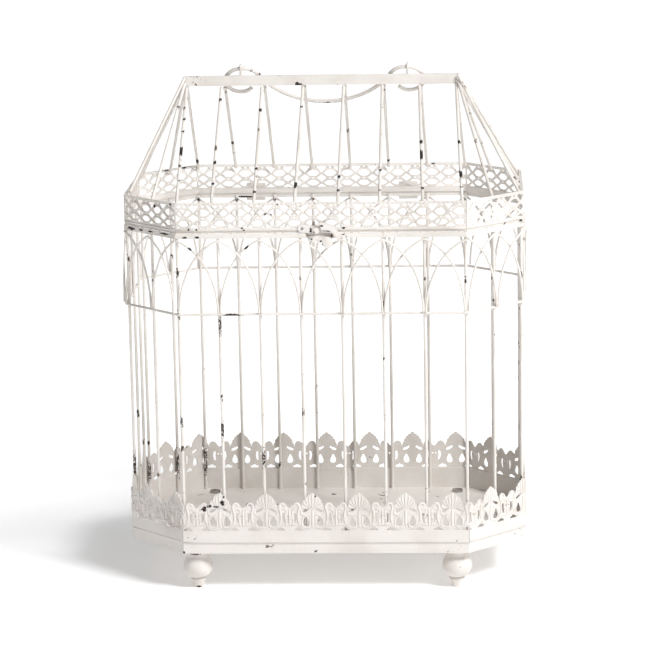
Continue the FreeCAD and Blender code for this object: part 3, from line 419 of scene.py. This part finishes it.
def roof_line(number):
    """Upper and lower end of a front or rear roof wire."""
    side = -1 if number <= BAYS[0] else 1
    low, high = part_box("roof_wires_front" if side < 0 else "roof_wires_rear")
    upper, lower = FRONT_SET[number] if side < 0 else REAR_SET[number - REAR_FIRST]
    share = number if side < 0 else REAR_FIRST + BAYS[0] - number
    half_row = RIDGE_HALF - ROOF_END_INSET * MM
    across = RIDGE_MIDDLE + half_row * (2 * share / BAYS[0] - 1) + upper * MM
    top = Vector((across, side * ROOF_TOP_SPREAD * MM, high.z - WIRE))
    place = BARS[number][0]
    return top, Vector((place.x + lower * MM, place.y - side * ROOF_FOOT_INSET * MM, low.z + WIRE))


def roof_chip(number, low, high, reach=2.0):
    """Chip on a front or rear roof wire between two heights, in millimetres."""
    top, foot = roof_line(number)
    mid = (low + high) / 2 * MM
    at = top.lerp(foot, (top.z - mid) / (top.z - foot.z))
    return (at.x, at.y, mid), (reach * MM, (high - low) / 2 * MM + reach * MM, (high - low) / 2 * MM)


def front_mark(x, z, wide, tall, offset=2.0, deep=3.0):
    """Dark mark on the front, offset out from the bar centres, in millimetres: a paint chip, and on the latch
    partly painted shadow.
    """
    return (x * MM, -(HALF_Y + offset * MM), z * MM), (wide * MM, deep * MM, tall * MM)


def chamfer_chip(share, height, wide, tall, side=-1):
    """Chip on a left corner panel, front (side -1) or rear; share runs from the side panel."""
    leg, out = HALF_X - FRONT_HALF, CHAMFER_OUT * MM
    x, y = -HALF_X + leg * share - out, side * (SIDE_HALF + leg * share + out)
    return (x, y, height * MM), (wide * MM, wide * MM, tall * MM)


def spot_mark(x, y, z, wide, deep, tall):
    """Dark mark anywhere, in millimetres."""
    return (x * MM, y * MM, z * MM), (wide * MM, deep * MM, tall * MM)


# wire, lowest and highest point, then the reach if it is not the usual one
ROOF_CHIPS = (
    (0, 350, 353), (0, 342, 345), (0, 325, 336, 2.4), (0, 320, 323), (0, 311, 313),
    (1, 362, 366), (1, 321, 325), (1, 308, 311.5), (1, 296.5, 298.5),
    (2, 355, 359), (2, 317.5, 320.5), (2, 303, 306),
    (3, 358, 360), (3, 305.5, 311.5, 2.4),
    (4, 312, 315), (4, 304, 306), (4, 296.5, 298.5),
    (5, 316, 319),
    (6, 333, 337.5), (6, 322, 332, 2.4), (6, 305, 307),
    (7, 333, 336.5), (7, 310, 318.5, 2.4), (7, 305.5, 307.5),
    (20, 319, 323), (20, 310, 312), (21, 299.5, 308), (16, 301, 304),
)
BAR_CHIPS = (
    (1, 192, 222), (1, 114, 137), (5, 216, 226), (7, 213, 217), (0, 125, 139), (2, 90, 116),
    (21, 33, 76), (22, 36, 77), (23, 42, 70), (26, 70, 108),
    (18, 268, 273), (19, 268, 273), (20, 268, 273), (21, 268, 273),
)
# middle, then reach: x, y, z each
HANDLE_CHIPS = (
    (-9.0, 23.3, 356.7, 6.0, 2.0, 1.8), (1.0, 23.3, 356.5, 5.0, 2.0, 1.6), (10.0, 23.1, 356.7, 6.0, 2.0, 1.8),
    (74.2, 4.3, 381.2, 1.6, 2.0, 1.8), (64.5, 0.0, 389.5, 1.2, 1.4, 1.2),
    (-56.0, 0.8, 385.0, 2.2, 2.0, 1.8), (-50.0, 4.0, 381.5, 1.8, 2.0, 1.6),
)
# dark marks on the left front foot, one just under the tray and one just above the floor
FOOT_MARKS = (
    (-100.5, -88.3, 28.1, 6.2, 3.5, 1.3), (-97.8, -82.8, 1.2, 2.1, 2.5, 1.3),
)
# dark marks on the latch: paint chips, painted shadow in the gap under the hook band, and painted shade in
# the ear's hole
# x, height, reach sideways, reach upwards
LATCH_MARKS = (
    (-13.6, 279.0, 1.5, 1.5), (-7.3, 277.4, 1.1, 3.0), (-4.7, 281.6, 2.2, 0.9), (0.9, 281.4, 2.8, 1.0),
    (5.9, 277.0, 1.8, 1.2), (8.3, 273.4, 1.3, 1.8), (9.9, 268.4, 1.1, 2.8), (1.2, 268.0, 2.2, 2.8),
    (-9.6, 270.8, 1.0, 0.9), (-6.8, 271.0, 1.0, 1.0), (-6.9, 268.6, 0.9, 0.9), (17.0, 274.2, 2.0, 0.8),
)
GALLERY_MARKS = (
    (-91.6, 64.9, 2.7, 2.3), (-88.2, 67.1, 3.0, 1.7), (-77.6, 69.6, 2.3, 2.5), (-82.3, 66.9, 2.6, 1.0),
    (-85.4, 73.4, 1.0, 1.8), (-76.4, 74.4, 1.0, 1.2), (-101.0, 70.4, 1.1, 1.0), (-7.4, 74.6, 1.0, 1.0),
)
BAND_MARKS = (
    (-97.7, 278.6, 1.1, 1.1), (-91.8, 278.4, 1.0, 1.0), (-58.0, 279.4, 1.1, 1.1), (-56.8, 277.8, 1.1, 1.1),
    (-40.4, 289.4, 1.5, 1.7), (-36.2, 289.9, 1.4, 1.5), (-31.6, 296.6, 1.1, 1.0), (17.0, 279.0, 1.6, 1.0),
)

WIRE_CHIPS = (
    *(roof_chip(*entry) for entry in ROOF_CHIPS),
    *(bar_chip(*entry) for entry in BAR_CHIPS),
    *(spot_mark(*entry) for entry in HANDLE_CHIPS),
    front_mark(-67.0, 214.0, 9.0, 1.5, 3.0),
    front_mark(-97.2, 264.0, 2.0, 2.0, 3.0, 4.0),
    front_mark(-55.6, 265.4, 3.0, 2.4, 3.0, 4.0),
)
# the latch marks darken the paint both as chips and as painted shadow
LATCH_CHIPS_AND_SHADE = tuple(front_mark(*mark, 4.5, 5.0) for mark in LATCH_MARKS)
RIM_CHIPS = (
    chamfer_chip(0.13, 273.6, 5.6, 1.7),
    chamfer_chip(0.34, 273.8, 3.4, 1.0),
    chamfer_chip(0.52, 274.0, 3.6, 0.9),
    chamfer_chip(0.80, 274.2, 7.0, 0.8),
    chamfer_chip(0.45, 298.0, 3.4, 1.2, 1),
    chamfer_chip(0.75, 298.0, 3.6, 1.2, 1),
    front_mark(-100.6, 272.8, 2.2, 1.1),
    front_mark(-91.6, 272.8, 2.6, 1.1),
    front_mark(-106.5, 298.0, 1.3, 1.3),
    front_mark(-107.7, 30.8, 1.2, 1.2),
    ((-69.8 * MM, HALF_Y + 1.2 * MM, 272.2 * MM), (8.5 * MM, 2.2 * MM, 1.1 * MM)),
    ((81.0 * MM, HALF_Y + 1.0 * MM, 298.0 * MM), (2.0 * MM, 2.5 * MM, 1.2 * MM)),
)
PRESSED_CHIPS = (
    *(front_mark(*mark, 3.0) for mark in GALLERY_MARKS),
    *(front_mark(*mark) for mark in BAND_MARKS),
    chamfer_chip(0.62, 293.5, 2.2, 2.0),
    chamfer_chip(0.93, 297.0, 1.6, 1.2),
)

WIRE_PAINT = paint("wire_paint", WIRE_CHIPS, wear=0.4, speckle=0.45)
SHEET_PAINT = paint("sheet_paint", RIM_CHIPS + LATCH_CHIPS_AND_SHADE, wear=0.35, speckle=0.1)
FILIGREE_PAINT = paint("filigree_paint", PRESSED_CHIPS, wear=0.45, speckle=0.45)
CAST_PAINT = paint("cast_paint", tuple(spot_mark(*entry) for entry in FOOT_MARKS) + LATCH_CHIPS_AND_SHADE,
                   wear=0.5, speckle=0.4)
SCREW_STEEL = bare_steel("screw_steel")
SLOT_LOOKS = {"painted_steel": SHEET_PAINT, "wire_paint": WIRE_PAINT, "filigree_paint": FILIGREE_PAINT,
              "cast_paint": CAST_PAINT, "screw_steel": SCREW_STEEL}

# width of the softened edges of sheet pieces, in millimetres
BEVELS = {"tray_pan": 0.25, "body_rim": 0.3, "lid_frame": 0.2, "lid_top_rail": 0.2, "ridge_bar": 0.5,
          "catch_plate": 0.25, "latch_plate": 0.25, "latch_hook": 0.35, "hinge_leaves_body": 0.15,
          "hinge_leaves_lid": 0.15, "latch_rivet": 0.3, "catch_stud": 0.4}


def dress_nodes():
    """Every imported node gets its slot's look; sheet pieces get softened edges."""
    for part in frame["record"]["subparts"]:
        node = frame["nodes"][part["node"]]
        look = SLOT_LOOKS[part["material_slot"]]
        if not node.data.materials:
            node.data.materials.append(look)
        for index in range(len(node.material_slots)):
            node.material_slots[index].material = look
        if part["node"] in BEVELS:
            bevel = node.modifiers.new("soft_edges", "BEVEL")
            bevel.width = BEVELS[part["node"]] * MM
            bevel.segments = 2
            bevel.limit_method = "ANGLE"
            bevel.angle_limit = math.radians(35)


# ---------------------------------------------------------------- filigree band

GALLERY = Strip(2.3 * MM, 0.8 * MM)
GALLERY_MOTIFS = 25
GALLERY_START = 28.0 * MM
# raised lines of half a motif about its centre line: points as run and height, then the line's radius
PALMETTE_STROKES = (
    (((0.9, 65.4), (2.0, 69.2), (2.6, 72.6), (2.5, 74.8)), 0.66),
    (((1.6, 65.6), (3.5, 68.6), (4.6, 71.0), (4.9, 72.9)), 0.62),
    (((3.4, 66.6), (5.0, 68.0), (6.3, 69.4), (6.8, 70.4)), 0.58),
    (((4.0, 65.2), (6.0, 65.6), (7.6, 66.6), (8.2, 67.2)), 0.5),
    (((2.6, 61.2), (4.4, 60.0), (7.4, 60.2), (8.7, 62.4), (8.6, 64.6)), 0.66),
    (((2.0, 60.2), (2.1, 55.4), (2.6, 51.4), (5.0, 50.2), (7.6, 51.0), (8.2, 54.0), (7.4, 57.4),
      (5.4, 60.0)), 0.62),
    (((0.3, 50.4), (4.2, 48.9), (8.6, 50.2), (10.9, 52.4)), 0.6),
)
# lines on the centre line of a motif, then the radius
PALMETTE_SPINE = ((0, 64.6), (0, 69.0), (0, 73.0), (0, 76.8)), 0.75
PALMETTE_DROP = ((0, 51.2), (0, 55.0), (0, 59.4), (0, 63.6)), 1.3
CURL_SPINE = ((0, 51.6), (0, 55.4), (0, 60.0), (0, 64.4)), 0.8
CURL_STROKES = (
    (((8.4, 52.0), (7.0, 55.0), (6.3, 59.0), (6.9, 63.2), (7.7, 66.2), (6.9, 68.6), (5.2, 69.3), (3.7, 68.3),
      (3.5, 66.9)), 0.95),
    (((6.1, 63.6), (4.6, 64.8), (2.8, 64.4), (1.9, 62.8), (2.4, 61.2)), 0.6),
    (((0.3, 57.2), (1.9, 57.9), (2.9, 56.4), (2.3, 53.4), (1.1, 51.6)), 0.62),
    (((0.6, 52.0), (3.0, 52.6), (6.6, 52.3), (9.6, 51.0)), 0.66),
)
# height and radius of the beads that run all round, how flat they are pressed and their usual step
GALLERY_FOOT_BEAD = 39.2, 0.4
BAND_FOOT_BEAD = 278.1, 0.6
BEAD_FLAT, BEAD_STEP = 0.7, 12


def mirrored(points):
    """The same line on the other side of the motif."""
    return [(-x, z) for x, z in points]


def gallery_relief():
    """Raised lines of the pressed band: palmette leaves, drops and curls, and a low bead at the foot."""
    soup = Soup()
    pitch = GALLERY.length / GALLERY_MOTIFS
    for motif in range(GALLERY_MOTIFS):
        palmette = GALLERY_START + motif * pitch
        for points, radius in PALMETTE_STROKES:
            stroke(soup, GALLERY, palmette, points, radius)
            stroke(soup, GALLERY, palmette, mirrored(points), radius)
        stroke(soup, GALLERY, palmette, *PALMETTE_SPINE)
        stroke(soup, GALLERY, palmette, *PALMETTE_DROP, taper=0.3, flat=0.5)
        curl = palmette + pitch / 2
        for points, radius in CURL_STROKES:
            stroke(soup, GALLERY, curl, points, radius)
            stroke(soup, GALLERY, curl, mirrored(points), radius)
        stroke(soup, GALLERY, curl, *CURL_SPINE, taper=0.5)
    round_bead(soup, GALLERY, *GALLERY_FOOT_BEAD)
    soup.piece("gallery_relief", FILIGREE_PAINT, "cage_body", "filigree_paint")


def round_bead(soup, strip, height, radius):
    """Raised line all the way round a strip, one length for each side."""
    for low, high, zero, base, along, outward in strip.sides:
        count = max(3, int((high - low) / (BEAD_STEP * MM)))
        spots = [base + along * (low - zero + (high - low) * k / count) + outward * strip.outer
                 + UP * (height * MM) for k in range(count + 1)]
        soup.tube(spots, [radius * MM] * len(spots), [outward] * len(spots), BEAD_FLAT)


# ---------------------------------------------------------------- lattice band of the lid

BAND = Strip(1.15 * MM, 0.8 * MM)
BAND_CELLS = 64
# row of small beads: height, half widths of a bead along, up and out, and beads over each cell
BAND_BEAD_Z = 297.4
BAND_BEAD = (0.8, 0.7, 0.45)
BEADS_A_CELL = 4
# the lattice starts half a cell later on the rear side and its corners
LATE_PANELS = (3, 4, 5)
# a cell's middle keeps this far from the corners
CELL_MARGIN = 6.0
# raised lines round the eyes of a cell, and the strands between the cells: points, then radius
EYES = (
    (((-5.9, 290.9), (-2.6, 293.7), (0.0, 294.1), (2.6, 293.7), (5.9, 290.9), (2.6, 288.1), (0.0, 287.8),
      (-2.6, 288.1)), 0.42),
    (((-5.7, 283.0), (-2.5, 285.4), (0.0, 285.7), (2.5, 285.4), (5.7, 283.0), (2.5, 280.6), (0.0, 280.3),
      (-2.5, 280.6)), 0.4),
)
BRAIDS = (
    (((-6.6, 290.3), (-4.7, 292.5), (-2.1, 295.4)), 0.42),
    (((-6.6, 283.2), (-4.5, 281.6), (-1.9, 279.6)), 0.4),
)


def band_relief():
    """Raised lines round the eyes of the lattice, a rolled bottom edge and a beaded top edge."""
    soup = Soup()
    pitch = BAND.length / BAND_CELLS
    for index, (low, high, *_) in enumerate(BAND.sides):
        start = 1.0 if index in LATE_PANELS else 0.5
        for number in range(BAND_CELLS + 1):
            cell = (number + start) * pitch
            if not low + CELL_MARGIN * MM < cell < high - CELL_MARGIN * MM:
                continue
            for points, radius in EYES:
                stroke(soup, BAND, cell, points, radius, closed=True, steps=2)
            for points, radius in BRAIDS:
                stroke(soup, BAND, cell, points, radius, steps=3)
                stroke(soup, BAND, cell, mirrored(points), radius, steps=3)
    round_bead(soup, BAND, *BAND_FOOT_BEAD)
    beads = BAND_CELLS * BEADS_A_CELL
    for number in range(beads):
        run = (number + 0.5) * BAND.length / beads
        at, far = BAND.point(run, BAND_BEAD_Z * MM), BAND.point(run, BAND_BEAD_Z * MM, MM)
        out = (far - at).normalized()
        radii = tuple(r * MM for r in BAND_BEAD)
        soup.blob(at, radii, (UP.cross(out), UP, out), rough=0.05, rings=4, sides=6)
    soup.piece("band_relief", FILIGREE_PAINT, "lid", "filigree_paint")


# ---------------------------------------------------------------- solder and paint lumps

# half widths of the lumps across their wire, out from it and along it, in millimetres
RING_LUMP = (1.9, 1.3, 1.5)
RIM_LUMP = (1.7, 1.3, 1.9)
TRAY_LUMP = (1.9, 1.9, 1.1)
ROOF_FOOT_LUMP = (1.6, 1.5, 1.8)
ROOF_TOP_LUMP = (1.6, 1.5, 1.7)
# where their middles are: out from the wire, under the middle of the rim and out from it, over the bars'
# lower ends, back from the roof wires' feet and down from their tops
RING_OUT, RIM_DROP, RIM_OUT, TRAY_RISE, ROOF_FOOT_BACK, ROOF_TOP_DOWN = 0.3, 0.6, 0.5, 0.4, 0.6, 1.2


def lump(radii, across=1.0, tall=1.0):
    """Half widths of a lump in metres, grown across and along its wire."""
    return radii[0] * MM * across, radii[1] * MM, radii[2] * MM * tall


def solder():
    """Lumps where wires cross the waist ring, meet the rims and sit on the tray."""
    body, lid = Soup(), Soup()
    rim = (RIM_LOW + RIM_HIGH) / 2
    for place, outward, along in BARS:
        axes = (along, outward, UP)
        at_ring = place + outward * (WIRE + RING_OUT * MM) + UP * RING_Z
        at_rim = place + UP * (rim - RIM_DROP * MM) + outward * RIM_OUT * MM
        at_tray = place + UP * (BAR_LOW + TRAY_RISE * MM)
        size = random.uniform(0.85, 1.2)
        body.blob(at_ring, lump(RING_LUMP, size, size), axes)
        body.blob(at_rim, lump(RIM_LUMP, tall=size), axes)
        body.blob(at_tray, lump(TRAY_LUMP, tall=size), axes)
    inner = range(1, BAYS[0])
    for number in (*inner, *(REAR_FIRST + k for k in inner)):
        top, foot = roof_line(number)
        way = (foot - top).normalized()
        side = way.cross(UP).normalized()
        axes = (side, way.cross(side), way)
        at_foot, at_top = foot - way * ROOF_FOOT_BACK * MM, top + way * ROOF_TOP_DOWN * MM
        lid.blob(at_foot, lump(ROOF_FOOT_LUMP, tall=random.uniform(0.9, 1.3)), axes)
        lid.blob(at_top, lump(ROOF_TOP_LUMP), axes)
    body.piece("solder_body", WIRE_PAINT, "cage_body", "wire_paint")
    lid.piece("solder_lid", WIRE_PAINT, "lid", "wire_paint")


# ---------------------------------------------------------------- floor, light and camera

# half width and height of the sweep, where it starts to rise, the radius of its bend and the steps in it
SWEEP_SIZE, SWEEP_RISE, SWEEP_BACK, SWEEP_BEND, SWEEP_STEPS = 9.0, 7.0, 3.0, 2.0, 16
SWEEP_WHITE = (0.93, 0.93, 0.935)
FAR_GREY = (0.30, 0.30, 0.30)
# the sweep turns grey outside a wide ellipsoid, painted shade where the light falls off: middle, one over its
# half widths, and where the turn runs
WHITE_MIDDLE, WHITE_SCALE, WHITE_EDGE = (0.0, 1.9, 1.0), (0.62, 0.30, 0.28), (0.95, 1.5)
# its painted glow, though the sweep is no lamp, under the box and further out, and the distances between
# which it grows, in metres; the weaker glow under the box keeps the shadow there dark
GLOW_NEAR, GLOW_FAR, GLOW_EDGE = 0.24, 0.65, (0.18, 0.5)
ORIGIN = (0.0, 0.0, 0.0)
ROOM_LIGHT = 0.24
# name, place, aim, disk size, power
LAMPS = (
    ("key", (1.7, -1.5, 2.3), (0, 0, 0.15), 0.9, 92.0),
    ("fill", (-1.9, -2.0, 1.4), (0, 0, 0.2), 1.6, 2.0),
    ("top", (0.2, 0.6, 2.6), (0, 0, 0.2), 1.8, 4.0),
)
# viewpoint fitted to the photograph: place, backward and rightward ways, and angle of view in degrees
CAMERA_AT = (0.1096, -2.1995, 0.6511)
CAMERA_BACK = (0.05073, -0.97731, 0.20564)
CAMERA_RIGHT = (0.99869, 0.04821, -0.01724)
CAMERA_ANGLE = 12.668


def sweep_material():
    """Matt white with painted light: it glows weakly under the box and more further out, and falls off to
    grey far from it as painted shade.
    """
    nodes = Nodes("sweep_white")
    away = nodes.vector("SUBTRACT", nodes.place, WHITE_MIDDLE)
    away = nodes.vector("LENGTH", nodes.vector("MULTIPLY", away, WHITE_SCALE), ORIGIN)
    far_shade = nodes.step(away, *WHITE_EDGE)
    shader = nodes.add("ShaderNodeBsdfPrincipled")
    shade = nodes.mix(nodes.noise(6.0, 2.0), SWEEP_WHITE, tuple(c * 0.985 for c in SWEEP_WHITE))
    nodes.put(shader.inputs["Base Color"], nodes.mix(far_shade, shade, FAR_GREY))
    shader.inputs["Roughness"].default_value = 0.9
    shader.inputs["Emission Color"].default_value = (1.0, 1.0, 1.0, 1.0)
    reach = nodes.step(nodes.vector("LENGTH", nodes.place, ORIGIN), *GLOW_EDGE)
    glow = nodes.math("ADD", GLOW_NEAR, nodes.math("MULTIPLY", reach, GLOW_FAR - GLOW_NEAR))
    glow = nodes.math("MULTIPLY", glow, nodes.math("SUBTRACT", 1.0, far_shade))
    nodes.put(shader.inputs["Emission Strength"], glow)
    out = nodes.add("ShaderNodeOutputMaterial")
    nodes.put(out.inputs["Surface"], shader.outputs["BSDF"])
    return nodes.material


def studio():
    """Pale sweep that is floor in front and wall behind, lit from the right and above."""
    profile = [(-SWEEP_SIZE, 0.0)]
    for k in range(SWEEP_STEPS + 1):
        turn = math.pi / 2 * k / SWEEP_STEPS
        profile.append((SWEEP_BACK + SWEEP_BEND * math.sin(turn), SWEEP_BEND * (1 - math.cos(turn))))
    profile.append((SWEEP_BACK + SWEEP_BEND, SWEEP_RISE))
    verts = [(x, y, z) for y, z in profile for x in (-SWEEP_SIZE, SWEEP_SIZE)]
    faces = [(2 * k, 2 * k + 1, 2 * k + 3, 2 * k + 2) for k in range(len(profile) - 1)]
    mesh = bpy.data.meshes.new("sweep")
    mesh.from_pydata(verts, [], faces)
    mesh.shade_smooth()
    mesh.materials.append(sweep_material())
    sweep = bpy.data.objects.new("sweep", mesh)
    bpy.context.scene.collection.objects.link(sweep)
    world = bpy.data.worlds.new("soft_room")
    world.use_nodes = True
    world.node_tree.nodes["Background"].inputs["Color"].default_value = (1.0, 1.0, 1.0, 1.0)
    world.node_tree.nodes["Background"].inputs["Strength"].default_value = ROOM_LIGHT
    bpy.context.scene.world = world
    for lamp in LAMPS:
        area_light(*lamp)
    bpy.context.scene.view_settings.view_transform = "Standard"


def area_light(name, place, aim, size, power):
    """Round soft lamp that looks at its aim."""
    lamp = bpy.data.lights.new(name, "AREA")
    lamp.shape = "DISK"
    lamp.size = size
    lamp.energy = power
    made = bpy.data.objects.new(name, lamp)
    made.location = place
    made.rotation_euler = (Vector(aim) - Vector(place)).to_track_quat("-Z", "Y").to_euler()
    bpy.context.scene.collection.objects.link(made)


def camera():
    """Camera at the fitted viewpoint."""
    data = bpy.data.cameras.new("camera")
    data.sensor_fit = "HORIZONTAL"
    data.angle = math.radians(CAMERA_ANGLE)
    data.clip_start, data.clip_end = 0.05, 60.0
    made = bpy.data.objects.new("camera", data)
    back, right = Vector(CAMERA_BACK).normalized(), Vector(CAMERA_RIGHT)
    up = back.cross(right).normalized()
    right = up.cross(back).normalized()
    turn = Matrix((right, up, back)).transposed().to_4x4()
    made.matrix_world = Matrix.Translation(CAMERA_AT) @ turn
    bpy.context.scene.collection.objects.link(made)
    bpy.context.scene.camera = made


dress_nodes()
gallery_relief()
band_relief()
solder()
studio()
camera()
